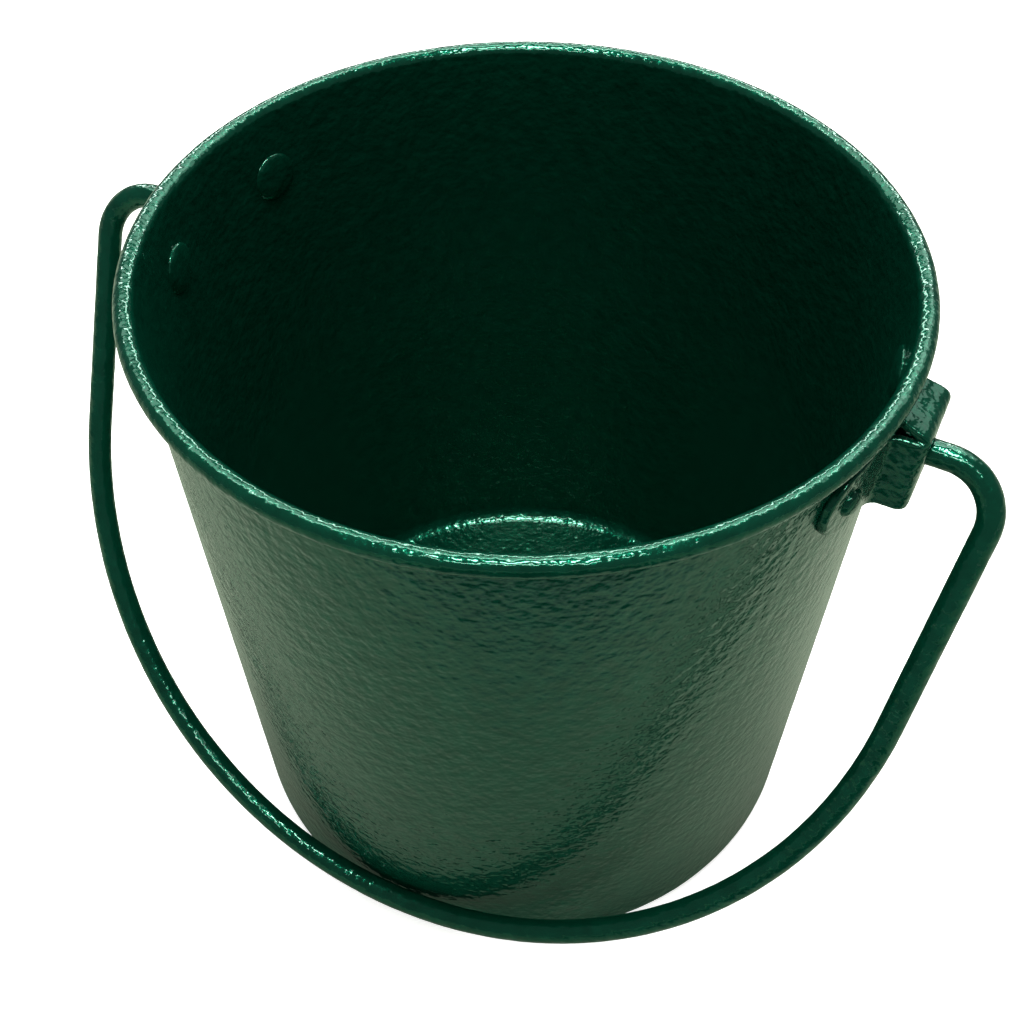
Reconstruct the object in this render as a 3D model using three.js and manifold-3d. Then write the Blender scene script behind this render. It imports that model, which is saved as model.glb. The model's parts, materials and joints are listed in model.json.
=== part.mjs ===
// Riveted steel feed bucket with a swinging bail.
//
// Frame: millimetres, +Z up, origin at the centre of the flat underside, on the bucket's axis.
// The two bail ears sit at +X and -X. The bail hangs towards -Y and leans on the wall.

import * as THREE from 'three';
import { mergeVertices } from 'three/addons/utils/BufferGeometryUtils.js';
import Module from 'manifold-3d';

const wasm = await Module();
wasm.setup();

// ---------------------------------------------------------------- driving dimensions

const RIM_RADIUS = 120; // outside of the rolled rim
const HEIGHT = 231; // underside to the top of the rolled rim
const BASE_RADIUS = 103.3; // outer wall, carried straight down to the underside
const TOP_RADIUS = 114.8; // outer wall, carried straight up to the top of the rim
const SHEET = 1.2; // coated steel sheet of the shell
const CORNER_RADIUS = 7; // outside of the rounded corner between wall and floor
const GAP = 0.3; // clearance between pieces that touch

const CURL_RADIUS = 3.1; // outside of the sheet rolled over at the rim
const CURL_TURN = THREE.MathUtils.degToRad(305); // how far the sheet is rolled round

const PIVOT_HEIGHT = 206; // axis of the bail in the ears
const ROD_RADIUS = 4; // bail rod
const HOLE_RADIUS = 4.5; // hole in each ear for the bail rod

const EAR_SHEET = 2;
const EAR_FACE = 126; // outer face of the ear, measured from the bucket's axis
const EAR_WIDTH = 24; // raised box, across
const EAR_DROP = 14; // raised box, from the pivot down to its lower edge
const EAR_RISE = 11.8; // raised box, from the pivot up to the side walls' upper edge
const EAR_TOP = 14; // from the pivot up to the crown of the folded tab
const TAB_SLOPE = THREE.MathUtils.degToRad(20); // the tab rises towards the wall
const TAB_ROOT_WIDTH = 21;
const TAB_TIP_WIDTH = 18;
const FLANGE_END_RADIUS = 11; // rounded end of each riveted flange

const RIVET_SWEEP = THREE.MathUtils.degToRad(14.2); // from the ear's middle to each rivet
const SHANK_RADIUS = 2.5;
const SHANK_HOLE_RADIUS = SHANK_RADIUS + GAP;
const INNER_HEAD = { radius: 8.2, height: 2.2, lift: 0.65 };
const OUTER_HEAD = { radius: 5.2, height: 2.8, lift: GAP };

const BOW_RADIUS = 145.5; // big arc of the bail
const BOW_CENTRE_DEPTH = 68.5; // its centre, below the pivot axis
const SIDE_LEAN = THREE.MathUtils.degToRad(5.6); // the straight sides close in towards the bow
const BEND_RADIUS = 16; // bend between each straight side and its end
const ROD_END = 117.5; // tip of the rod inside the ear, from the bail's middle
const UPSET = { radius: 5.8, start: 117.9, length: 2.6 }; // headed collar that keeps the rod in
const SIDE_PLAY = -3; // the bail lies this far over in its side play, towards the left ear

const AROUND = 64; // facets round the bucket
const ROD_SIDES = 12;

// ---------------------------------------------------------------- derived values

const WALL_TAPER = (TOP_RADIUS - BASE_RADIUS) / HEIGHT; // radius gained per millimetre of height
const WALL_SLOPE = Math.atan(WALL_TAPER);
const CURL_CENTRE = new THREE.Vector2(RIM_RADIUS - CURL_RADIUS, HEIGHT - CURL_RADIUS);
const HOLLOW_RADIUS = CURL_RADIUS - SHEET;
const SIDES = { right: 0, left: Math.PI };
const RIVETS = { front: -1, rear: 1 };

function wallRadius(height) {
  return BASE_RADIUS + WALL_TAPER * height;
}

// The swing from straight down at which the bow's middle comes to rest on the wall.
function restSwing() {
  const bowDepth = BOW_CENTRE_DEPTH + BOW_RADIUS;
  const standOff = (ROD_RADIUS + GAP) / Math.cos(WALL_SLOPE);
  const reach = wallRadius(PIVOT_HEIGHT) + standOff;
  return Math.asin((reach / bowDepth) * Math.cos(WALL_SLOPE)) - WALL_SLOPE;
}

// ---------------------------------------------------------------- joining and cutting

// A closed geometry as a solid, without the collapsed triangles at the poles of a lathe.
function toSolid(geometry) {
  const bare = geometry.clone();
  bare.deleteAttribute('normal');
  bare.deleteAttribute('uv');
  const merged = mergeVertices(bare, 1e-4);
  const corners = merged.index.array;
  const triangles = [];
  for (let i = 0; i < corners.length; i += 3) {
    const [a, b, c] = corners.slice(i, i + 3);
    if (a !== b && b !== c && c !== a) {
      triangles.push(a, b, c);
    }
  }
  return new wasm.Manifold(new wasm.Mesh({
    numProp: 3,
    vertProperties: new Float32Array(merged.attributes.position.array),
    triVerts: new Uint32Array(triangles),
  }));
}

function toGeometry(solid) {
  const mesh = solid.getMesh();
  const geometry = new THREE.BufferGeometry();
  geometry.setAttribute('position', new THREE.BufferAttribute(mesh.vertProperties, 3));
  geometry.setIndex(new THREE.BufferAttribute(mesh.triVerts, 1));
  geometry.computeVertexNormals();
  return geometry;
}

// A lathe turned about +Z instead of +Y.
function turned(profile, segments) {
  return new THREE.LatheGeometry(profile, segments).rotateX(Math.PI / 2);
}

// ---------------------------------------------------------------- outlines

function arcPoints(centre, radius, from, to, pieces) {
  const points = [];
  for (let i = 0; i <= pieces; i += 1) {
    const angle = from + ((to - from) * i) / pieces;
    points.push(new THREE.Vector2(
      centre.x + radius * Math.cos(angle),
      centre.y + radius * Math.sin(angle),
    ));
  }
  return points;
}

// A bent line through corners [x, y, bend radius], with each bend drawn as a short arc.
function bentLine(corners, piecesPerBend = 4) {
  const points = [];
  corners.forEach(([x, y, radius = 0], i) => {
    const corner = new THREE.Vector2(x, y);
    if (radius === 0) {
      points.push(corner);
      return;
    }
    const before = new THREE.Vector2(...corners[i - 1]).sub(corner).normalize();
    const after = new THREE.Vector2(...corners[i + 1]).sub(corner).normalize();
    const halfAngle = Math.acos(before.dot(after)) / 2;
    const setBack = radius / Math.tan(halfAngle);
    const centre = before.clone().add(after).setLength(radius / Math.sin(halfAngle)).add(corner);
    const start = corner.clone().addScaledVector(before, setBack).sub(centre);
    const end = corner.clone().addScaledVector(after, setBack).sub(centre);
    const turn = Math.atan2(start.cross(end), start.dot(end));
    const from = start.angle();
    points.push(...arcPoints(centre, radius, from, from + turn, piecesPerBend));
  });
  return points;
}

// The outline of a strip of the given thickness that follows a line of points.
function stripShape(points, thickness) {
  const sides = [[], []];
  points.forEach((point, i) => {
    const back = points[Math.max(i - 1, 0)];
    const next = points[Math.min(i + 1, points.length - 1)];
    const inward = point.clone().sub(back).normalize();
    const onward = next.clone().sub(point).normalize();
    const along = inward.clone().add(onward).normalize();
    const straightest = i === 0 ? onward : inward;
    const stretch = thickness / 2 / Math.max(along.dot(straightest), 0.2);
    const across = new THREE.Vector2(-along.y, along.x).multiplyScalar(stretch);
    sides[0].push(point.clone().add(across));
    sides[1].unshift(point.clone().sub(across));
  });
  return new THREE.Shape([...sides[0], ...sides[1]]);
}

function extruded(shape, depth) {
  return new THREE.ExtrudeGeometry(shape, { depth, bevelEnabled: false, curveSegments: 8 });
}

// ---------------------------------------------------------------- shell and rim wire

// Section of the shell, from the axis out along the underside, up the wall, round the
// hollow of the rolled rim, back over its outside and down the inside to the axis.
function shellProfile() {
  const lean = WALL_SLOPE;
  const cornerCentre = new THREE.Vector2(
    wallRadius(CORNER_RADIUS) - CORNER_RADIUS / Math.cos(lean),
    CORNER_RADIUS,
  );
  const cornerStart = -Math.PI / 2;
  const cornerEnd = -lean;
  const curlEnd = Math.PI - CURL_TURN;
  return [
    new THREE.Vector2(0, 0),
    ...arcPoints(cornerCentre, CORNER_RADIUS, cornerStart, cornerEnd, 4),
    new THREE.Vector2(wallRadius(HEIGHT - 8), HEIGHT - 8),
    ...arcPoints(CURL_CENTRE, HOLLOW_RADIUS, Math.PI, curlEnd, 9),
    ...arcPoints(CURL_CENTRE, CURL_RADIUS, curlEnd, Math.PI, 11),
    new THREE.Vector2(wallRadius(HEIGHT - 8) - SHEET, HEIGHT - 8),
    ...arcPoints(cornerCentre, CORNER_RADIUS - SHEET, cornerEnd, cornerStart, 4),
    new THREE.Vector2(0, SHEET),
  ];
}

// A place on the outer wall: +Y of this frame points straight out of the sheet.
function wallFrame(azimuth, height) {
  const radius = wallRadius(height);
  const frame = new THREE.Object3D();
  frame.rotation.order = 'ZYX';
  frame.rotation.set(-WALL_SLOPE, 0, azimuth - Math.PI / 2);
  frame.position.set(radius * Math.cos(azimuth), radius * Math.sin(azimuth), height);
  frame.updateMatrix();
  return frame;
}

function rivetAzimuths() {
  return Object.values(SIDES).flatMap((side) => (
    Object.values(RIVETS).map((row) => side + row * RIVET_SWEEP)
  ));
}

function shellGeometry() {
  let shell = toSolid(turned(shellProfile(), AROUND));
  rivetAzimuths().forEach((azimuth) => {
    const drill = new THREE.CylinderGeometry(SHANK_HOLE_RADIUS, SHANK_HOLE_RADIUS, 12, 12);
    drill.applyMatrix4(wallFrame(azimuth, PIVOT_HEIGHT).matrix);
    shell = shell.subtract(toSolid(drill));
  });
  return toGeometry(shell);
}

function rimWireGeometry() {
  const wire = new THREE.TorusGeometry(CURL_CENTRE.x, HOLLOW_RADIUS - GAP, 8, AROUND);
  return wire.translate(0, 0, CURL_CENTRE.y);
}

// ---------------------------------------------------------------- ears

// The strip seen from above: flange, side wall, outer face, side wall, flange.
function earStripLine() {
  const flangeRadius = wallRadius(PIVOT_HEIGHT) + GAP + EAR_SHEET / 2;
  const side = (EAR_WIDTH - EAR_SHEET) / 2;
  const face = EAR_FACE - EAR_SHEET / 2;
  const flangeStart = Math.asin(side / flangeRadius);
  const flangeEnd = RIVET_SWEEP + (FLANGE_END_RADIUS + 2) / flangeRadius;
  const half = [[face, side, 2]];
  half.push([flangeRadius * Math.cos(flangeStart), side, 5]);
  const pieces = 4;
  for (let i = 1; i <= pieces; i += 1) {
    const angle = flangeStart + ((flangeEnd - flangeStart) * i) / pieces;
    half.push([flangeRadius * Math.cos(angle), flangeRadius * Math.sin(angle)]);
  }
  const mirrored = half.map(([x, y, ...bend]) => [x, -y, ...bend]).reverse();
  return bentLine([...mirrored, ...half]);
}

// The strip seen from outside: a tall middle and a round-ended flange at each side.
function earOutline() {
  const rivetReach = wallRadius(PIVOT_HEIGHT) * Math.sin(RIVET_SWEEP);
  const shoulder = EAR_WIDTH / 2 + 3;
  const outline = new THREE.Shape();
  outline.moveTo(shoulder, -EAR_DROP);
  outline.lineTo(shoulder + 4, -FLANGE_END_RADIUS);
  outline.absarc(rivetReach, 0, FLANGE_END_RADIUS, -Math.PI / 2, Math.PI / 2, false);
  outline.lineTo(shoulder, EAR_RISE);
  outline.lineTo(-shoulder, EAR_RISE);
  outline.absarc(-rivetReach, 0, FLANGE_END_RADIUS, Math.PI / 2, Math.PI * 1.5, false);
  outline.lineTo(-shoulder - 4, -FLANGE_END_RADIUS);
  outline.lineTo(-shoulder, -EAR_DROP);
  outline.closePath();
  return outline;
}

// The tab that is folded over from the top of the outer face towards the wall.
function earTab() {
  const face = EAR_FACE - EAR_SHEET / 2;
  const crown = EAR_TOP - EAR_SHEET / 2;
  const tip = wallRadius(PIVOT_HEIGHT + EAR_TOP) + 1.6;
  const rise = (face - tip) * Math.tan(TAB_SLOPE);
  const fold = bentLine([[face, 4], [face, crown, 2.2], [tip, crown + rise]]);
  const strip = extruded(stripShape(fold, EAR_SHEET), EAR_WIDTH);
  strip.rotateX(Math.PI / 2).translate(0, EAR_WIDTH / 2, 0);
  const plan = new THREE.Shape([
    new THREE.Vector2(tip - 3, -TAB_TIP_WIDTH / 2),
    new THREE.Vector2(EAR_FACE - 4, -TAB_ROOT_WIDTH / 2),
    new THREE.Vector2(EAR_FACE + 3, -TAB_ROOT_WIDTH / 2),
    new THREE.Vector2(EAR_FACE + 3, TAB_ROOT_WIDTH / 2),
    new THREE.Vector2(EAR_FACE - 4, TAB_ROOT_WIDTH / 2),
    new THREE.Vector2(tip - 3, TAB_TIP_WIDTH / 2),
  ]);
  const trim = extruded(plan, 40).translate(0, 0, -10);
  return toSolid(strip).intersect(toSolid(trim));
}

// One ear at +X. Heights are taken from the pivot until the last step.
function earGeometry() {
  const tall = 60;
  const strip = extruded(stripShape(earStripLine(), EAR_SHEET), tall).translate(0, 0, -tall / 2);
  const outline = extruded(earOutline(), 40);
  outline.rotateX(Math.PI / 2).rotateZ(Math.PI / 2).translate(EAR_FACE - 30, 0, 0);
  let ear = toSolid(strip).intersect(toSolid(outline));
  ear = ear.add(earTab());
  const followWall = new THREE.Matrix4().makeShear(0, 0, 0, 0, WALL_TAPER, 0);
  const sheared = toGeometry(ear).applyMatrix4(followWall).translate(0, 0, PIVOT_HEIGHT);
  ear = toSolid(sheared);
  const pivotHole = new THREE.CylinderGeometry(HOLE_RADIUS, HOLE_RADIUS, 12, 20);
  pivotHole.rotateZ(Math.PI / 2).translate(EAR_FACE, 0, PIVOT_HEIGHT);
  ear = ear.subtract(toSolid(pivotHole));
  Object.values(RIVETS).forEach((row) => {
    const drill = new THREE.CylinderGeometry(SHANK_HOLE_RADIUS, SHANK_HOLE_RADIUS, 14, 12);
    drill.applyMatrix4(wallFrame(row * RIVET_SWEEP, PIVOT_HEIGHT).matrix);
    ear = ear.subtract(toSolid(drill));
  });
  return toGeometry(ear);
}

// ---------------------------------------------------------------- rivets

// Points of a low round head, from its rim to its crown, as radius and height.
function domePoints(head, base, direction) {
  const ball = (head.radius ** 2 + head.height ** 2) / (2 * head.height);
  const points = [];
  const pieces = 4;
  for (let i = 0; i <= pieces; i += 1) {
    const radius = head.radius * (1 - i / pieces);
    const height = Math.sqrt(ball ** 2 - radius ** 2) - (ball - head.height);
    points.push(new THREE.Vector2(radius, base + direction * height));
  }
  return points;
}

// Turned about the shank: +Y points out of the bucket and 0 is the wall's outer face.
function rivetGeometry() {
  const innerSeat = -SHEET - INNER_HEAD.lift;
  const outerSeat = GAP + EAR_SHEET + OUTER_HEAD.lift;
  const profile = [
    ...domePoints(INNER_HEAD, innerSeat, -1).reverse(),
    new THREE.Vector2(SHANK_RADIUS, innerSeat),
    new THREE.Vector2(SHANK_RADIUS, outerSeat),
    ...domePoints(OUTER_HEAD, outerSeat, 1),
  ];
  return toGeometry(toSolid(new THREE.LatheGeometry(profile, 16)));
}

// ---------------------------------------------------------------- bail

// The rod's centre line in the plane of the bail: end, bend, straight side and half the bow,
// then the same again mirrored. X runs from ear to ear and the bow hangs towards -Z.
class BailLine extends THREE.Curve {
  constructor() {
    super();
    const bowStart = new THREE.Vector2(
      BOW_RADIUS * Math.cos(SIDE_LEAN),
      -BOW_CENTRE_DEPTH - BOW_RADIUS * Math.sin(SIDE_LEAN),
    );
    const sideTop = bowStart.x - bowStart.y * Math.tan(SIDE_LEAN);
    const bendAngle = Math.PI / 2 + SIDE_LEAN;
    const setBack = BEND_RADIUS * Math.tan(bendAngle / 2);
    this.bendCentre = new THREE.Vector2(sideTop - setBack, -BEND_RADIUS);
    this.sideLength = -bowStart.y / Math.cos(SIDE_LEAN) - setBack;
    this.sideStart = new THREE.Vector2(
      sideTop - setBack * Math.sin(SIDE_LEAN),
      -setBack * Math.cos(SIDE_LEAN),
    );
    this.endLength = this.bendCentre.x - ROD_END;
    this.bendAngle = bendAngle;
    this.bowSweep = Math.PI / 2 - SIDE_LEAN;
    this.halfLength = this.endLength + BEND_RADIUS * bendAngle
      + this.sideLength + BOW_RADIUS * this.bowSweep;
  }

  // The point a given length along the right half, from the rod's tip.
  halfPoint(length) {
    let rest = length;
    if (rest <= this.endLength) {
      return [ROD_END + rest, 0];
    }
    rest -= this.endLength;
    if (rest <= BEND_RADIUS * this.bendAngle) {
      const angle = Math.PI / 2 - rest / BEND_RADIUS;
      return [
        this.bendCentre.x + BEND_RADIUS * Math.cos(angle),
        this.bendCentre.y + BEND_RADIUS * Math.sin(angle),
      ];
    }
    rest -= BEND_RADIUS * this.bendAngle;
    if (rest <= this.sideLength) {
      return [
        this.sideStart.x - rest * Math.sin(SIDE_LEAN),
        this.sideStart.y - rest * Math.cos(SIDE_LEAN),
      ];
    }
    rest -= this.sideLength;
    const angle = SIDE_LEAN + rest / BOW_RADIUS;
    return [BOW_RADIUS * Math.cos(angle), -BOW_CENTRE_DEPTH - BOW_RADIUS * Math.sin(angle)];
  }

  getPoint(t, target = new THREE.Vector3()) {
    const length = 2 * this.halfLength * t;
    const mirrored = length > this.halfLength;
    const [x, z] = this.halfPoint(mirrored ? 2 * this.halfLength - length : length);
    return target.set(mirrored ? -x : x, 0, z);
  }
}

function bailGeometry() {
  const section = new THREE.Shape(arcPoints(
    new THREE.Vector2(0, 0),
    ROD_RADIUS,
    0,
    2 * Math.PI * (1 - 1 / ROD_SIDES),
    ROD_SIDES - 1,
  ));
  const rod = new THREE.ExtrudeGeometry(section, {
    steps: 96,
    bevelEnabled: false,
    extrudePath: new BailLine(),
  });
  let bail = toSolid(rod);
  const { radius, start, length } = UPSET;
  const chamfer = 0.8;
  const collar = new THREE.LatheGeometry([
    new THREE.Vector2(0, 0),
    new THREE.Vector2(radius - chamfer, 0),
    new THREE.Vector2(radius, chamfer),
    new THREE.Vector2(radius, length - chamfer),
    new THREE.Vector2(radius - chamfer, length),
    new THREE.Vector2(0, length),
  ], 16);
  collar.rotateZ(-Math.PI / 2).translate(start, 0, 0);
  bail = bail.add(toSolid(collar));
  bail = bail.add(toSolid(collar.clone().rotateZ(Math.PI)));
  return toGeometry(bail);
}

// ---------------------------------------------------------------- finishes and assembly

function greenCoat(roughness) {
  return new THREE.MeshStandardMaterial({ color: 0x0b4a33, roughness, metalness: 0.1 });
}

function steel() {
  return new THREE.MeshStandardMaterial({ color: 0x8c8f92, roughness: 0.45, metalness: 1 });
}

function named(name, geometry, material) {
  const mesh = new THREE.Mesh(geometry, material);
  mesh.name = name;
  return mesh;
}

function addEarSet(bucket, sideName, azimuth) {
  const set = new THREE.Group();
  set.rotation.z = azimuth;
  set.add(named(`${sideName}_bail_ear`, earGeometry(), greenCoat(0.35)));
  Object.entries(RIVETS).forEach(([rowName, row]) => {
    const rivet = named(`${sideName}_ear_${rowName}_rivet`, rivetGeometry(), greenCoat(0.35));
    const place = wallFrame(row * RIVET_SWEEP, PIVOT_HEIGHT);
    rivet.position.copy(place.position);
    rivet.rotation.copy(place.rotation);
    set.add(rivet);
  });
  bucket.add(set);
}

function addBail(bucket) {
  const bail = named('bail', bailGeometry(), greenCoat(0.3));
  bail.position.set(SIDE_PLAY, 0, PIVOT_HEIGHT);
  bail.rotation.x = -restSwing();
  bucket.add(bail);
}

const group = new THREE.Group();
group.add(named('pail_shell', shellGeometry(), greenCoat(0.3)));
group.add(named('rim_wire', rimWireGeometry(), steel()));
Object.entries(SIDES).forEach(([sideName, azimuth]) => addEarSet(group, sideName, azimuth));
addBail(group);

export default group;
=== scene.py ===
"""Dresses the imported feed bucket: drawn shell, riveted ears and swinging bail in a glossy green coat.

Metres, +Z up, origin at the centre of the flat underside. The two ears sit at +X and -X, and the
bail hangs towards -Y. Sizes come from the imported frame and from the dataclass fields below.
"""

import json
import logging
import math
from dataclasses import dataclass, field
from enum import Enum

import bpy
from mathutils import Matrix, Vector


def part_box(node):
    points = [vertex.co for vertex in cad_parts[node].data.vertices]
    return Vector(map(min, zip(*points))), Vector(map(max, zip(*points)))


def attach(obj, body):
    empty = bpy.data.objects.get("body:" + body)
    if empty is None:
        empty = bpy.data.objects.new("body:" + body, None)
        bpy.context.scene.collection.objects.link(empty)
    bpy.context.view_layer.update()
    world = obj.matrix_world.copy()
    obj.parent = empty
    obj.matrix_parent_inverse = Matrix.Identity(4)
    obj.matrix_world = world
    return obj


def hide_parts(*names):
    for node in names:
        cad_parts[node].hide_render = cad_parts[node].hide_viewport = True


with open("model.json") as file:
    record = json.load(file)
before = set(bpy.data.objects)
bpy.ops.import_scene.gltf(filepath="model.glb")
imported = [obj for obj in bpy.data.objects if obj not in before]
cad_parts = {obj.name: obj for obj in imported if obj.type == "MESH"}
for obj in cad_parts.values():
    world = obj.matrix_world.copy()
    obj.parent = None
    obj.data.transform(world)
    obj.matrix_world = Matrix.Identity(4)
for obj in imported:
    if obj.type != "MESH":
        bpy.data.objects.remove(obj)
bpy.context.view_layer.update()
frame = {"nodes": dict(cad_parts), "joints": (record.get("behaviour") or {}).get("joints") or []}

LOG = logging.getLogger("feed_bucket")
MM = 0.001
UP = Vector((0, 0, 1))
CENTRE = Vector((0, 0, 0))

Pair = tuple[float, float]
Colour = tuple[float, float, float]


class Body(str, Enum):
    """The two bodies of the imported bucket."""

    BUCKET = "bucket"
    BAIL = "bail"


class Slot(str, Enum):
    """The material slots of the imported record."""

    SHELL = "shell_coat"
    EAR = "ear_coat"
    RIVET = "rivet_coat"
    BAIL = "bail_coat"


class Side(str, Enum):
    """The two sides of the bucket that have an ear."""

    RIGHT = "right"
    LEFT = "left"


class Row(str, Enum):
    """The two rivets of an ear."""

    FRONT = "front"
    REAR = "rear"


# ---------------------------------------------------------------- working as by hand


def deselect_all() -> None:
    """Leaves edit mode and clears the selection and the active object."""
    if bpy.context.object and bpy.context.object.mode != "OBJECT":
        bpy.ops.object.mode_set(mode="OBJECT")
    bpy.ops.object.select_all(action="DESELECT")
    bpy.context.view_layer.objects.active = None


def make_active(piece: bpy.types.Object) -> None:
    """Makes one object the only selected and active one.

    Args:
        piece: The object.
    """
    deselect_all()
    piece.select_set(True)
    bpy.context.view_layer.objects.active = piece


def drawn_line(name: str, points: list[Vector]) -> bpy.types.Object:
    """Draws an open line by extruding one vertex from point to point.

    Args:
        name: The new object's name.
        points: The line's points, in metres.

    Returns:
        The object, in edit mode, with the whole line selected.
    """
    deselect_all()
    bpy.ops.mesh.primitive_plane_add(size=MM, location=points[0])
    piece = bpy.context.object
    piece.name = name
    bpy.ops.object.transform_apply(location=True)
    bpy.ops.object.mode_set(mode="EDIT")
    bpy.ops.mesh.select_mode(type="VERT")
    bpy.ops.mesh.merge(type="CENTER")
    for here, there in zip(points, points[1:]):
        bpy.ops.mesh.extrude_vertices_move(TRANSFORM_OT_translate={"value": there - here})
    bpy.ops.mesh.select_all(action="SELECT")
    return piece


def spun(name: str, profile: list[Vector], centre: Vector, axis: Vector, steps: int) -> bpy.types.Object:
    """Turns a profile line once round an axis into a closed, outward-facing body.

    Args:
        name: The new object's name.
        profile: The profile, from the axis back to the axis or closed on itself.
        centre: A point on the axis.
        axis: The axis's direction.
        steps: How many segments go round.

    Returns:
        The object, in object mode.
    """
    piece = drawn_line(name, profile)
    bpy.ops.mesh.spin(steps=steps, angle=math.tau, center=centre, axis=axis)
    close_up(piece)
    return piece


def close_up(piece: bpy.types.Object, distance: float = 2e-6) -> None:
    """Merges doubled vertices and turns all faces outwards, ending in object mode.

    Args:
        piece: The object in edit mode.
        distance: How close two vertices are merged.
    """
    bpy.ops.mesh.select_all(action="SELECT")
    bpy.ops.mesh.remove_doubles(threshold=distance)
    bpy.ops.mesh.normals_make_consistent(inside=False)
    bpy.ops.object.mode_set(mode="OBJECT")


def add_modifier(piece: bpy.types.Object, kind: str, **settings: object) -> None:
    """Adds one modifier with the given settings and applies it.

    Args:
        piece: The object to change.
        kind: Blender's name for the modifier.
        **settings: Its properties.
    """
    make_active(piece)
    modifier = piece.modifiers.new(kind.lower(), kind)
    for key, value in settings.items():
        setattr(modifier, key, value)
    bpy.ops.object.modifier_apply(modifier=modifier.name)


def copied(piece: bpy.types.Object, name: str) -> bpy.types.Object:
    """Copies an object with its own mesh and without its parent or marks.

    Args:
        piece: The object to copy.
        name: The copy's name.

    Returns:
        The copy, in the scene.
    """
    twin = piece.copy()
    twin.data = piece.data.copy()
    twin.name = name
    twin.parent = None
    for key in list(twin.keys()):
        del twin[key]
    bpy.context.scene.collection.objects.link(twin)
    return twin


def arc(centre: Pair, radius: float, start: float, end: float, pieces: int) -> list[Pair]:
    """Points on an arc in a plane.

    Args:
        centre: The arc's centre.
        radius: Its radius.
        start: Its first angle, in radians.
        end: Its last angle, in radians.
        pieces: How many straight pieces it has.

    Returns:
        The points as pairs, both ends among them.
    """
    angles = [start + (end - start) * i / pieces for i in range(pieces + 1)]
    return [(centre[0] + radius * math.cos(a), centre[1] + radius * math.sin(a)) for a in angles]


def evenly(start: Pair, end: Pair, pieces: int) -> list[Pair]:
    """Points that part a straight line evenly.

    Args:
        start: The line's first point.
        end: Its last point.
        pieces: How many pieces it is parted into.

    Returns:
        The points between the two ends, without the ends.
    """
    return [
        (start[0] + (end[0] - start[0]) * i / pieces, start[1] + (end[1] - start[1]) * i / pieces)
        for i in range(1, pieces)
    ]


# ---------------------------------------------------------------- relief and finishes


@dataclass(frozen=True)
class CoatRelief:
    """The uneven skin of the thick coat, as real shape."""

    swell_size: float = 9 * MM
    swell_height: float = 0.10 * MM
    peel_size: float = 3.2 * MM
    peel_height: float = 0.09 * MM

    def apply(self, piece: bpy.types.Object, share: float = 1.0) -> None:
        """Moves a piece's surface in and out along its normals.

        Args:
            piece: A finely divided object.
            share: How much of the full relief it gets.
        """
        for label, size, height in (
            ("swell", self.swell_size, self.swell_height),
            ("peel", self.peel_size, self.peel_height),
        ):
            texture = bpy.data.textures.new(f"{piece.name}_{label}", "CLOUDS")
            texture.noise_scale = size
            texture.noise_depth = 1
            add_modifier(
                piece,
                "DISPLACE",
                texture=texture,
                texture_coords="LOCAL",
                strength=height * share,
                mid_level=0.5,
            )


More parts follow.
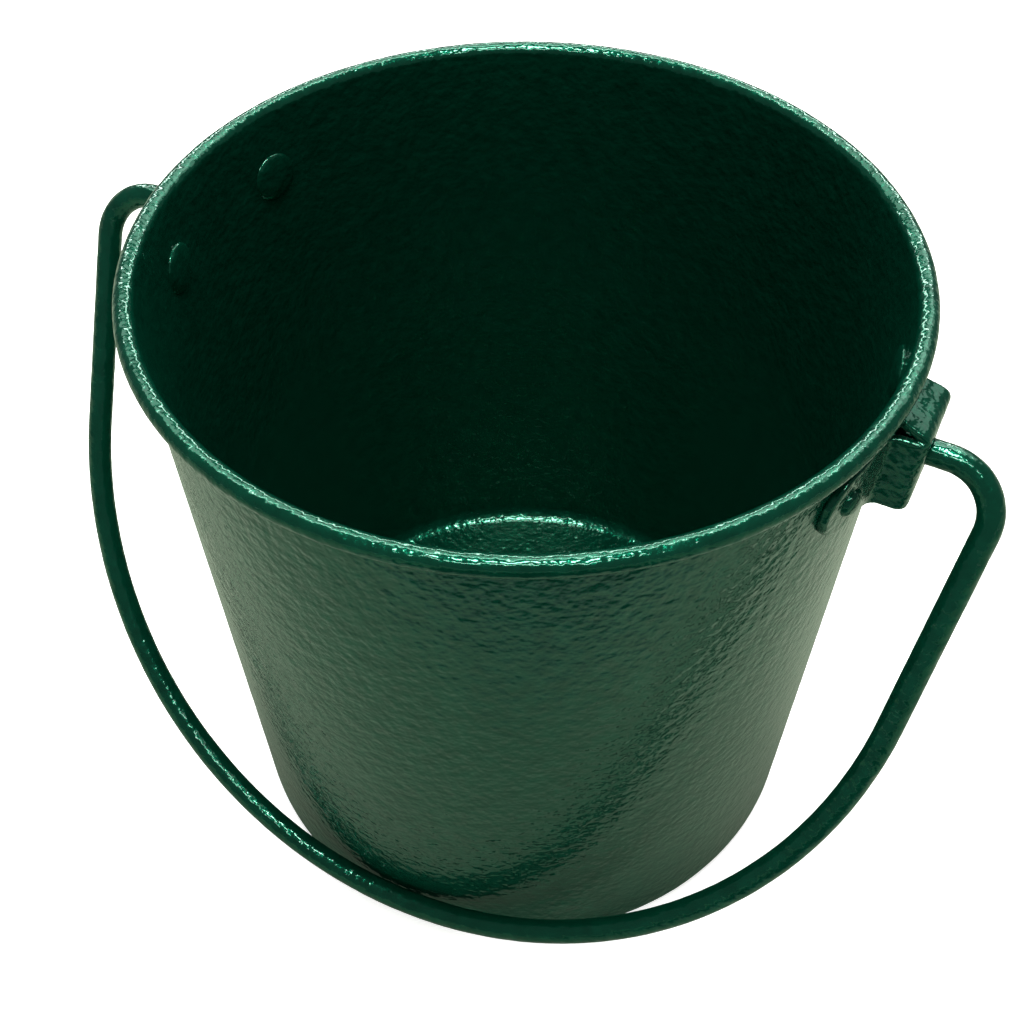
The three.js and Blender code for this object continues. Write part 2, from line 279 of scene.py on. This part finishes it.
@dataclass(frozen=True)
class GreenCoat:
    """Glossy green coat over steel: a green base that scatters softly, under a clear bright skin."""

    name: str
    deep: Colour = (0.0010, 0.054, 0.028)
    light: Colour = (0.0020, 0.076, 0.040)
    mottle_per_metre: float = 192.0
    mottle_detail: float = 5.0
    mottle_ends: Pair = (0.32, 0.72)
    metallic: float = 0.68
    roughness: Pair = (0.15, 0.26)
    coat_weight: float = 0.5
    coat_roughness: float = 0.02
    peel_per_metre: float = 340.0
    peel_depth: float = 0.50 * MM
    swell_per_metre: float = 120.0
    swell_depth: float = 0.3 * MM
    bump_detail: float = 1.5

    def material(self) -> bpy.types.Material:
        """Builds the coat's node material.

        Returns:
            The material, named after the finish.
        """
        made = bpy.data.materials.new(self.name)
        made.use_nodes = True
        nodes, links = made.node_tree.nodes, made.node_tree.links
        shader = nodes["Principled BSDF"]
        place = nodes.new("ShaderNodeTexCoord").outputs["Object"]

        mottle = nodes.new("ShaderNodeTexNoise")
        mottle.inputs["Scale"].default_value = self.mottle_per_metre
        mottle.inputs["Detail"].default_value = self.mottle_detail
        links.new(place, mottle.inputs["Vector"])
        colours = nodes.new("ShaderNodeValToRGB")
        for stop, place_on_ramp, colour in zip(
            colours.color_ramp.elements, self.mottle_ends, (self.deep, self.light)
        ):
            stop.position = place_on_ramp
            stop.color = (*colour, 1)
        links.new(mottle.outputs["Fac"], colours.inputs["Fac"])
        links.new(colours.outputs["Color"], shader.inputs["Base Color"])

        gloss = nodes.new("ShaderNodeMapRange")
        gloss.inputs["To Min"].default_value = self.roughness[0]
        gloss.inputs["To Max"].default_value = self.roughness[1]
        links.new(mottle.outputs["Fac"], gloss.inputs["Value"])
        links.new(gloss.outputs["Result"], shader.inputs["Roughness"])

        swell = self._bump(made, place, self.swell_per_metre, self.swell_depth, None)
        peel = self._bump(made, place, self.peel_per_metre, self.peel_depth, swell)
        links.new(peel, shader.inputs["Normal"])
        links.new(peel, shader.inputs["Coat Normal"])
        shader.inputs["Metallic"].default_value = self.metallic
        shader.inputs["Specular IOR Level"].default_value = 0.0
        shader.inputs["Coat Weight"].default_value = self.coat_weight
        shader.inputs["Coat Roughness"].default_value = self.coat_roughness
        return made

    def _bump(
        self,
        made: bpy.types.Material,
        place: bpy.types.NodeSocket,
        per_metre: float,
        depth: float,
        below: bpy.types.NodeSocket | None,
    ) -> bpy.types.NodeSocket:
        """Adds one layer of noise relief.

        Args:
            made: The material.
            place: Where the pattern's coordinates come from.
            per_metre: How many bumps there are in a metre.
            depth: Their height in metres.
            below: The normal of the layer below, or None.

        Returns:
            The new normal.
        """
        nodes, links = made.node_tree.nodes, made.node_tree.links
        noise = nodes.new("ShaderNodeTexNoise")
        noise.inputs["Scale"].default_value = per_metre
        noise.inputs["Detail"].default_value = self.bump_detail
        links.new(place, noise.inputs["Vector"])
        bump = nodes.new("ShaderNodeBump")
        bump.inputs["Strength"].default_value = 1.0
        bump.inputs["Distance"].default_value = depth
        links.new(noise.outputs["Fac"], bump.inputs["Height"])
        if below is not None:
            links.new(below, bump.inputs["Normal"])
        return bump.outputs["Normal"]


@dataclass(frozen=True)
class WireZinc:
    """Dull galvanised wire, slightly spangled."""

    name: str = "galvanised_wire"
    dark: Colour = (0.28, 0.29, 0.30)
    light: Colour = (0.50, 0.51, 0.52)
    spangle_per_metre: float = 260.0
    spangle_depth: float = 0.05 * MM
    spangle_strength: float = 0.6
    roughness: float = 0.48

    def material(self) -> bpy.types.Material:
        """Builds the zinc's node material.

        Returns:
            The material, named after the finish.
        """
        made = bpy.data.materials.new(self.name)
        made.use_nodes = True
        nodes, links = made.node_tree.nodes, made.node_tree.links
        shader = nodes["Principled BSDF"]
        place = nodes.new("ShaderNodeTexCoord").outputs["Object"]
        spangle = nodes.new("ShaderNodeTexVoronoi")
        spangle.inputs["Scale"].default_value = self.spangle_per_metre
        links.new(place, spangle.inputs["Vector"])
        colours = nodes.new("ShaderNodeValToRGB")
        colours.color_ramp.elements[0].color = (*self.dark, 1)
        colours.color_ramp.elements[1].color = (*self.light, 1)
        links.new(spangle.outputs["Distance"], colours.inputs["Fac"])
        links.new(colours.outputs["Color"], shader.inputs["Base Color"])
        bump = nodes.new("ShaderNodeBump")
        bump.inputs["Strength"].default_value = self.spangle_strength
        bump.inputs["Distance"].default_value = self.spangle_depth
        links.new(spangle.outputs["Distance"], bump.inputs["Height"])
        links.new(bump.outputs["Normal"], shader.inputs["Normal"])
        shader.inputs["Metallic"].default_value = 1.0
        shader.inputs["Roughness"].default_value = self.roughness
        return made


def dress(piece: bpy.types.Object, finish: bpy.types.Material, body: Body, slot: Slot, *nodes: str) -> None:
    """Gives a finished piece its material and its body, and hides the CAD nodes it stands for.

    Args:
        piece: The finished object.
        finish: Its material.
        body: The body it moves with.
        slot: The record's slot of its finish; not used.
        *nodes: The CAD nodes that it replaces.
    """
    piece.data.materials.clear()
    piece.data.materials.append(finish)
    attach(piece, body.value)
    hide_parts(*nodes)
    LOG.info("%s: %d faces, rides on %s", piece.name, len(piece.data.polygons), body.value)


# ---------------------------------------------------------------- shell


@dataclass
class PailShell:
    """The drawn shell: floor, rounded corner, tapered wall and the sheet curled over at the rim."""

    node: str = "pail_shell"
    sheet: float = 1.2 * MM
    base_radius: float = 103.3 * MM
    top_radius: float = 114.8 * MM
    corner_radius: float = 7.0 * MM
    curl_radius: float = 3.1 * MM
    curl_turn: float = math.radians(305)
    curl_depth: float = 8.0 * MM
    around: int = 432
    wall_rings: int = 90
    inner_rings: int = 50
    under_rings: int = 10
    floor_rings: int = 12
    corner_rings: int = 10
    hollow_rings: int = 14
    curl_rings: int = 28
    relief: CoatRelief = field(default_factory=CoatRelief)
    rim_radius: float = field(init=False)
    height: float = field(init=False)

    def __post_init__(self) -> None:
        """Takes the rim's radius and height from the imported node."""
        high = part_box(self.node)[1]
        self.rim_radius = high.y
        self.height = high.z

    def wall_radius(self, height: float) -> float:
        """Finds how far out the wall stands.

        Args:
            height: A height above the underside.

        Returns:
            The outer wall's radius there.
        """
        return self.base_radius + (self.top_radius - self.base_radius) * height / self.height

    @property
    def slope(self) -> float:
        """The wall's lean from upright, in radians."""
        return math.atan((self.top_radius - self.base_radius) / self.height)

    def profile(self) -> list[Vector]:
        """Draws the section from the axis along the underside, up, over the curl and back inside.

        Returns:
            The section's points in the XZ plane.
        """
        corner = (
            self.wall_radius(self.corner_radius) - self.corner_radius / math.cos(self.slope),
            self.corner_radius,
        )
        curl = (self.rim_radius - self.curl_radius, self.height - self.curl_radius)
        curl_end = math.pi - self.curl_turn
        shoulder = self.height - self.curl_depth
        under = arc(corner, self.corner_radius, -math.pi / 2, -self.slope, self.corner_rings)
        inner_corner = self.corner_radius - self.sheet
        inside = arc(corner, inner_corner, -self.slope, -math.pi / 2, self.corner_rings)
        lower_out = (self.wall_radius(shoulder), shoulder)
        lower_in = (self.wall_radius(shoulder) - self.sheet, shoulder)
        hollow = arc(curl, self.curl_radius - self.sheet, math.pi, curl_end, self.hollow_rings)
        over = arc(curl, self.curl_radius, curl_end, math.pi, self.curl_rings)
        bottom, floor = (0.0, 0.0), (0.0, self.sheet)
        outline = [bottom, *evenly(bottom, under[0], self.under_rings), *under]
        outline += [*evenly(under[-1], lower_out, self.wall_rings), lower_out]
        outline += [*hollow, *over, lower_in]
        outline += evenly(lower_in, inside[0], self.inner_rings)
        outline += [*inside, *evenly(inside[-1], floor, self.floor_rings), floor]
        return [Vector((x, 0.0, z)) for x, z in outline]

    def build(self, finish: bpy.types.Material) -> bpy.types.Object:
        """Spins the shell, gives its coat real relief and dresses it.

        Args:
            finish: The coat's material.

        Returns:
            The finished shell.
        """
        shell = spun("drawn_shell", self.profile(), CENTRE, UP, self.around)
        shell.data.shade_smooth()
        self.relief.apply(shell)
        dress(shell, finish, Body.BUCKET, Slot.SHELL, self.node)
        return shell


# ---------------------------------------------------------------- ears and rivets


@dataclass
class BailEar:
    """One pressed ear: two riveted flanges, a raised box with the rod's hole, and a folded tab."""

    side: Side
    voxel: float = 0.5 * MM
    rounding: float = 0.5
    rounding_passes: int = 6
    coat_build: float = 0.35 * MM
    relief: CoatRelief = field(default_factory=CoatRelief)

    def build(self, finish: bpy.types.Material) -> bpy.types.Object:
        """Rounds every edge of the pressed ear as the thick coat does, and dresses it.

        Args:
            finish: The coat's material.

        Returns:
            The finished ear.
        """
        node = f"{self.side.value}_bail_ear"
        ear = copied(frame["nodes"][node], f"pressed_ear_{self.side.value}")
        ear.hide_render = False
        make_active(ear)
        bpy.ops.object.mode_set(mode="EDIT")
        close_up(ear)
        ear.data.remesh_voxel_size = self.voxel
        bpy.ops.object.voxel_remesh()
        add_modifier(ear, "SMOOTH", factor=self.rounding, iterations=self.rounding_passes)
        add_modifier(ear, "DISPLACE", strength=self.coat_build, mid_level=0.0)
        ear.data.shade_smooth()
        self.relief.apply(ear)
        dress(ear, finish, Body.BUCKET, Slot.EAR, node)
        return ear


@dataclass
class EarRivet:
    """A solid rivet: a low broad head inside the shell and a small formed head outside."""

    side: Side
    row: Row
    sweep: float = math.radians(14.2)
    sheet: float = 1.2 * MM
    ear_sheet: float = 2.0 * MM
    gap: float = 0.3 * MM
    inner_radius: float = 8.2 * MM
    inner_height: float = 1.7 * MM
    outer_radius: float = 4.4 * MM
    outer_height: float = 2.3 * MM
    outer_foot: float = 0.6 * MM
    shank_radius: float = 2.5 * MM
    inner_sink: float = 0.1 * MM
    outer_sink: float = 0.3 * MM
    crown: Pair = (0.9, 0.75)
    rings: int = 14
    around: int = 64
    relief_share: float = 0.8
    relief: CoatRelief = field(default_factory=CoatRelief)

    def _head(self, radius: float, height: float, seat: float, way: int) -> list[Pair]:
        """Draws a head's section with a full crown and a soft foot.

        Args:
            radius: The head's radius.
            height: Its height over its seat.
            seat: Where its seat stands along the rivet.
            way: 1 for the head outside the wall, -1 for the one inside.

        Returns:
            The section's points from the crown to the seat.
        """
        points = []
        for i in range(self.rings + 1):
            turn = math.pi / 2 * i / self.rings
            across = radius * math.sin(turn) ** self.crown[0]
            rise = height * math.cos(turn) ** self.crown[1]
            points.append((across, seat + way * rise))
        return points

    def _section(self) -> list[Vector]:
        """Draws both heads and the shank between them.

        Returns:
            The section's points, from crown to crown, with the rivet's axis along Y.
        """
        inner_seat = self.inner_sink - self.sheet
        outer_seat = self.gap + self.ear_sheet - self.outer_sink
        inner = self._head(self.inner_radius, self.inner_height, inner_seat, -1)
        outer = self._head(self.outer_radius, self.outer_height + self.outer_foot, outer_seat, 1)
        section = [*inner, (self.shank_radius, inner_seat), (self.shank_radius, outer_seat)]
        section += list(reversed(outer))
        section = [(0.0, section[0][1]), *section[1:-1], (0.0, section[-1][1])]
        return [Vector((x, y, 0.0)) for x, y in section]

    def _stand(self, shell: PailShell, height: float) -> Matrix:
        """Finds where the rivet stands.

        Args:
            shell: The shell, whose wall it goes through.
            height: The height of the rivet's axis.

        Returns:
            The move from the rivet's own axis, along Y, into the wall.
        """
        base = 0.0 if self.side is Side.RIGHT else math.pi
        azimuth = base + self.sweep * (-1 if self.row is Row.FRONT else 1)
        radius = shell.wall_radius(height)
        return (
            Matrix.Translation((radius * math.cos(azimuth), radius * math.sin(azimuth), height))
            @ Matrix.Rotation(azimuth - math.pi / 2, 4, "Z")
            @ Matrix.Rotation(-shell.slope, 4, "X")
        )

    def build(self, finish: bpy.types.Material, shell: PailShell, pivot_height: float) -> bpy.types.Object:
        """Turns the rivet about its shank, stands it in the wall and dresses it.

        Args:
            finish: The coat's material.
            shell: The shell, whose wall it goes through.
            pivot_height: The height of the rivet's axis.

        Returns:
            The finished rivet.
        """
        name = f"rivet_{self.side.value}_{self.row.value}"
        rivet = spun(name, self._section(), CENTRE, Vector((0, 1, 0)), self.around)
        rivet.data.transform(self._stand(shell, pivot_height))
        rivet.data.shade_smooth()
        self.relief.apply(rivet, self.relief_share)
        node = f"{self.side.value}_ear_{self.row.value}_rivet"
        dress(rivet, finish, Body.BUCKET, Slot.RIVET, node)
        return rivet


# ---------------------------------------------------------------- bail


@dataclass
class Bail:
    """The bent rod: headed ends inside the ears, a bend each side, straight sides and a round bow.

    The outline of a headed end gives each ring's distance from the bail's middle and its radius,
    from the tip inwards.
    """

    node: str = "bail"
    rod_radius: float = 4.0 * MM
    bow_radius: float = 145.5 * MM
    bow_centre_depth: float = 68.5 * MM
    lean: float = math.radians(5.6)
    bend_radius: float = 16.0 * MM
    head_outline: tuple[Pair, ...] = (
        (117.5 * MM, 4.0 * MM),
        (117.9 * MM, 4.3 * MM),
        (118.2 * MM, 5.4 * MM),
        (118.7 * MM, 5.8 * MM),
        (119.7 * MM, 5.8 * MM),
        (120.3 * MM, 5.3 * MM),
        (120.5 * MM, 4.4 * MM),
        (121.1 * MM, 4.0 * MM),
    )
    wall_gap: float = 0.3 * MM
    around: int = 32
    step: float = 1.1 * MM
    relief: CoatRelief = field(default_factory=CoatRelief)

    @property
    def rod_end(self) -> float:
        """The tip's distance from the bail's middle."""
        return self.head_outline[0][0]

    @property
    def head_end(self) -> float:
        """Where a headed end runs back into the plain rod."""
        return self.head_outline[-1][0]

    def rest_swing(self, shell: PailShell, pivot_height: float) -> float:
        """Finds how far the bail is swung out at rest, where its bow leans on the wall.

        Args:
            shell: The shell that it leans on.
            pivot_height: The height of the swing axis.

        Returns:
            The angle from straight down, in radians.
        """
        stand_off = (self.rod_radius + self.wall_gap) / math.cos(shell.slope)
        reach = shell.wall_radius(pivot_height) + stand_off
        depth = self.bow_centre_depth + self.bow_radius
        return math.asin(reach / depth * math.cos(shell.slope)) - shell.slope

    def _push(self, length: float, heading: Vector, steps: int) -> None:
        """Extrudes the selected ring straight on, in equal steps.

        Args:
            length: How far it goes.
            heading: Its direction.
            steps: The number of steps.
        """
        for _ in range(steps):
            bpy.ops.mesh.extrude_edges_move(
                TRANSFORM_OT_translate={"value": heading * (length / steps)}
            )

    def _head(self, start: float, way: int) -> None:
        """Draws one headed end by extruding and widening the selected ring.

        Args:
            start: Where the selected ring stands along the swing axis.
            way: 1 from the tip to the rod at the right end, -1 from the rod to the tip at the left.
        """
        stations = self.head_outline[::way]
        here, radius = start, self.rod_radius
        for along, wide in stations[1:]:
            there = way * along
            bpy.ops.mesh.extrude_edges_move(TRANSFORM_OT_translate={"value": (there - here, 0, 0)})
            grow = wide / radius
            bpy.ops.transform.resize(value=(1, grow, grow), center_override=(there, 0, 0))
            here, radius = there, wide

    def _turn(self, centre: Vector, angle: float, radius: float) -> None:
        """Spins the selected ring round a bend's centre.

        Args:
            centre: The bend's centre.
            angle: How far it turns, in radians.
            radius: The bend's radius.
        """
        steps = max(2, round(abs(angle) * radius / self.step))
        bpy.ops.mesh.spin(steps=steps, angle=-angle, center=centre, axis=Vector((0, 1, 0)))

    def build(
        self, finish: bpy.types.Material, pivot: Vector, swing: float, middle: float
    ) -> bpy.types.Object:
        """Bends the rod from its right tip to its left tip, heads its ends and dresses it.

        Args:
            finish: The coat's material.
            pivot: A point on the swing axis.
            swing: How far the bail has swung from straight down, in radians.
            middle: The bail's middle along the swing axis.

        Returns:
            The finished bail.
        """
        bow_x = self.bow_radius * math.cos(self.lean)
        bow_z = self.bow_centre_depth + self.bow_radius * math.sin(self.lean)
        side_top = bow_x + bow_z * math.tan(self.lean)
        bend = math.pi / 2 + self.lean
        set_back = self.bend_radius * math.tan(bend / 2)
        bend_x = side_top - set_back
        side = bow_z / math.cos(self.lean) - set_back
        down = Vector((-math.sin(self.lean), 0, -math.cos(self.lean)))
        up = Vector((-math.sin(self.lean), 0, math.cos(self.lean)))
        flat = Vector((1, 0, 0))

        deselect_all()
        bpy.ops.mesh.primitive_circle_add(
            vertices=self.around,
            radius=self.rod_radius,
            fill_type="NOTHING",
            location=(self.rod_end, 0, 0),
            rotation=(0, math.pi / 2, 0),
        )
        bail = bpy.context.object
        bail.name = "bail_rod"
        bpy.ops.object.transform_apply(location=True, rotation=True)
        bpy.ops.object.mode_set(mode="EDIT")
        bpy.ops.mesh.select_all(action="SELECT")
        self._head(self.rod_end, 1)
        end = bend_x - self.head_end
        self._push(end, flat, round(end / self.step))
        self._turn(Vector((bend_x, 0, -self.bend_radius)), bend, self.bend_radius)
        self._push(side, down, round(side / self.step))
        self._turn(Vector((0, 0, -self.bow_centre_depth)), math.pi - 2 * self.lean, self.bow_radius)
        self._push(side, up, round(side / self.step))
        self._turn(Vector((-bend_x, 0, -self.bend_radius)), bend, self.bend_radius)
        self._push(end, flat, round(end / self.step))
        self._head(-self.head_end, -1)
        bpy.ops.mesh.select_all(action="SELECT")
        bpy.ops.mesh.fill_holes(sides=0)
        close_up(bail)
        hang = Matrix.Translation((middle, pivot.y, pivot.z)) @ Matrix.Rotation(-swing, 4, "X")
        bail.data.transform(hang)
        bail.data.shade_smooth()
        self.relief.apply(bail)
        dress(bail, finish, Body.BAIL, Slot.BAIL, self.node)
        return bail


# ---------------------------------------------------------------- studio


@dataclass(frozen=True)
class SoftPanel:
    """One rectangular light that faces the bucket.

    It hangs a distance in metres away, at a bearing and a height in degrees, the bearing taken
    round from the camera's side. Its power is in watts.
    """

    name: str
    bearing: float
    elevation: float
    far: float
    size: Pair
    power: float


PANELS = (
    SoftPanel("top_panel", 0.0, 84.0, 1.5, (0.45, 0.25), 18.0),
    SoftPanel("front_strip", 0.0, 61.0, 1.6, (1.0, 0.09), 8.0),
    SoftPanel("back_panel", 180.0, 28.0, 1.8, (2.4, 0.16), 24.0),
    SoftPanel("back_strip", 180.0, 66.0, 1.7, (1.8, 0.07), 12.0),
    SoftPanel("back_sky", 180.0, 58.0, 2.1, (2.6, 1.1), 30.0),
    SoftPanel("side_panel", 138.0, 42.0, 1.9, (1.2, 0.8), 6.0),
)


@dataclass(frozen=True)
class DarkCard:
    """A dark card before the bucket, grey at its near end, that only shows as a reflection.

    The fade gives where the grey ends and the dark begins along a card of unit length, and the
    shades are the two tones.
    """

    bearing: float = 3.0
    near: float = 0.225
    length: float = 1.2
    width: float = 0.46
    lift: float = 0.5 * MM
    fade: Pair = (-0.5, -0.44)
    shades: Pair = (0.27, 0.01)
    roughness: float = 0.9


@dataclass(frozen=True)
class GreyCard:
    """A wide green-grey card on the floor that only shows as a reflection in the coat."""

    size: float = 6.0
    lift: float = -0.1 * MM
    colour: Colour = (0.245, 0.285, 0.21)
    roughness: float = 0.9


@dataclass(frozen=True)
class PaleFloor:
    """The plain pale floor, which glows a little so that hardly a shadow shows on it."""

    size: float = 12.0
    lift: float = -0.3 * MM
    colour: Colour = (0.86, 0.86, 0.84)
    roughness: float = 0.7
    specular: float = 0.2
    glow_colour: Colour = (1.0, 1.0, 0.98)
    glow: float = 0.75


@dataclass
class Studio:
    """Plain pale floor, soft lights and the camera, all turned with the camera's side of the bucket."""

    turn: float = math.radians(27.001)
    tilt: float = 0.84147
    yaw: float = 0.00212
    roll: float = -0.00302
    eye: tuple[float, float, float] = (-0.004928, -0.338462, 0.495743)
    lens: float = 50.698
    sensor: float = 36.0
    nearest: float = 0.01
    aim: tuple[float, float, float] = (0.0, 0.0, 0.12)
    room_colour: Colour = (0.95, 0.97, 1.0)
    room_light: float = 0.18
    dark_card: DarkCard = field(default_factory=DarkCard)
    grey_card: GreyCard = field(default_factory=GreyCard)
    pale_floor: PaleFloor = field(default_factory=PaleFloor)

    def camera(self) -> None:
        """Places the camera and makes it the scene's."""
        data = bpy.data.cameras.new("studio_camera")
        data.lens = self.lens
        data.sensor_width = self.sensor
        data.clip_start = self.nearest
        camera = bpy.data.objects.new("studio_camera", data)
        bpy.context.scene.collection.objects.link(camera)
        camera.matrix_world = (
            Matrix.Rotation(self.turn, 4, "Z")
            @ Matrix.Translation(self.eye)
            @ Matrix.Rotation(-self.yaw, 4, "Z")
            @ Matrix.Rotation(math.pi / 2 - self.tilt, 4, "X")
            @ Matrix.Rotation(self.roll, 4, "Z")
        )
        bpy.context.scene.camera = camera

    def _towards(self, bearing: float, elevation: float) -> Vector:
        """Finds a direction from the bucket.

        Args:
            bearing: The angle round from the camera's side, in degrees.
            elevation: The angle up from the floor, in degrees.

        Returns:
            The direction, of unit length.
        """
        around = math.radians(bearing) + self.turn - math.pi / 2
        high = math.radians(elevation)
        flat = math.cos(high)
        return Vector((math.cos(around) * flat, math.sin(around) * flat, math.sin(high)))

    def hang(self, panel: SoftPanel) -> None:
        """Hangs one soft light panel that faces the bucket.

        Args:
            panel: The panel.
        """
        data = bpy.data.lights.new(panel.name, "AREA")
        data.shape = "RECTANGLE"
        data.size, data.size_y = panel.size
        data.energy = panel.power
        lamp = bpy.data.objects.new(panel.name, data)
        bpy.context.scene.collection.objects.link(lamp)
        away = self._towards(panel.bearing, panel.elevation)
        facing = away.to_track_quat("Z", "Y").to_matrix().to_4x4()
        lamp.matrix_world = Matrix.Translation(Vector(self.aim) + away * panel.far) @ facing

    @staticmethod
    def _square(name: str, size: float, lift: float) -> bpy.types.Object:
        """Lays one flat square of stage.

        Args:
            name: Its name.
            size: Its side.
            lift: Its height.

        Returns:
            The square.
        """
        deselect_all()
        bpy.ops.mesh.primitive_plane_add(size=size, location=(0, 0, lift))
        square = bpy.context.object
        square.name = name
        return square

    @staticmethod
    def _matt(name: str, roughness: float, specular: float = 0.0) -> bpy.types.Material:
        """Makes a plain matt material for the stage.

        Args:
            name: Its name.
            roughness: Its roughness.
            specular: Its specular level.

        Returns:
            The material, still without a colour.
        """
        made = bpy.data.materials.new(name)
        made.use_nodes = True
        shader = made.node_tree.nodes["Principled BSDF"]
        shader.inputs["Roughness"].default_value = roughness
        shader.inputs["Specular IOR Level"].default_value = specular
        return made

    @staticmethod
    def _only_reflected(card: bpy.types.Object) -> None:
        """Hides a card from everything but reflections.

        Args:
            card: The card.
        """
        card.visible_camera = False
        card.visible_diffuse = False
        card.visible_shadow = False

    def lay_dark_card(self) -> None:
        """Lays the dark card, which gives the front wall its dark reflection."""
        size = self.dark_card
        card = self._square("dark_card", 1.0, 0.0)
        away = self._towards(size.bearing, 0)
        card.scale = (size.length, size.width, 1)
        card.rotation_euler = (0, 0, math.atan2(away.y, away.x))
        card.location = away * (size.near + size.length / 2) + Vector((0, 0, size.lift))
        self._only_reflected(card)
        black = self._matt("black_card", size.roughness)
        nodes, links = black.node_tree.nodes, black.node_tree.links
        apart = nodes.new("ShaderNodeSeparateXYZ")
        links.new(nodes.new("ShaderNodeTexCoord").outputs["Object"], apart.inputs["Vector"])
        fade = nodes.new("ShaderNodeMapRange")
        fade.inputs["From Min"].default_value = size.fade[0]
        fade.inputs["From Max"].default_value = size.fade[1]
        fade.inputs["To Min"].default_value = size.shades[0]
        fade.inputs["To Max"].default_value = size.shades[1]
        links.new(apart.outputs["X"], fade.inputs["Value"])
        links.new(fade.outputs["Result"], nodes["Principled BSDF"].inputs["Base Color"])
        card.data.materials.append(black)

    def lay_grey_card(self) -> None:
        """Lays the grey card, which tones the floor's reflection in the wall."""
        card = self._square("grey_card", self.grey_card.size, self.grey_card.lift)
        self._only_reflected(card)
        grey = self._matt("grey_card", self.grey_card.roughness)
        shader = grey.node_tree.nodes["Principled BSDF"]
        shader.inputs["Base Color"].default_value = (*self.grey_card.colour, 1)
        card.data.materials.append(grey)

    def light_room(self) -> None:
        """Gives the surroundings their dim even light."""
        world = bpy.data.worlds.new("studio_room")
        world.use_nodes = True
        sky = world.node_tree.nodes["Background"]
        sky.inputs["Color"].default_value = (*self.room_colour, 1)
        sky.inputs["Strength"].default_value = self.room_light
        bpy.context.scene.world = world

    def lay_floor(self) -> None:
        """Lays the plain pale floor."""
        look = self.pale_floor
        floor = self._square("studio_floor", look.size, look.lift)
        paper = self._matt("pale_floor", look.roughness, look.specular)
        shader = paper.node_tree.nodes["Principled BSDF"]
        shader.inputs["Base Color"].default_value = (*look.colour, 1)
        shader.inputs["Emission Color"].default_value = (*look.glow_colour, 1)
        shader.inputs["Emission Strength"].default_value = look.glow
        floor.data.materials.append(paper)

    def build(self) -> None:
        """Lays the floor and the cards, hangs the lights and places the camera."""
        bpy.context.scene.view_settings.view_transform = "Standard"
        self.lay_floor()
        self.light_room()
        for panel in PANELS:
            self.hang(panel)
        self.lay_dark_card()
        self.lay_grey_card()
        self.camera()
        LOG.info("studio: %d light panels", len(PANELS))


def main() -> None:
    """Builds every piece in order, then the studio."""
    logging.basicConfig(level=logging.INFO, format="%(asctime)s %(name)s: %(message)s")
    pivot = Vector(frame["joints"][0]["pos_m"])

    shell = PailShell()
    shell.build(GreenCoat("shell_coat").material())
    ear_coat = GreenCoat("ear_coat").material()
    rivet_coat = GreenCoat("rivet_coat").material()
    for side in Side:
        BailEar(side).build(ear_coat)
        for row in Row:
            EarRivet(side, row).build(rivet_coat, shell, pivot.z)

    bail = Bail()
    low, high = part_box(bail.node)
    middle = (low.x + high.x) / 2
    swing = bail.rest_swing(shell, pivot.z)
    bail.build(GreenCoat("bail_coat").material(), pivot, swing, middle)

    wire = frame["nodes"]["rim_wire"]
    wire.data.materials.clear()
    wire.data.materials.append(WireZinc().material())
    LOG.info("rim_wire: keeps its own mesh, galvanised")

    Studio().build()


if __name__ == "__main__":
    main()
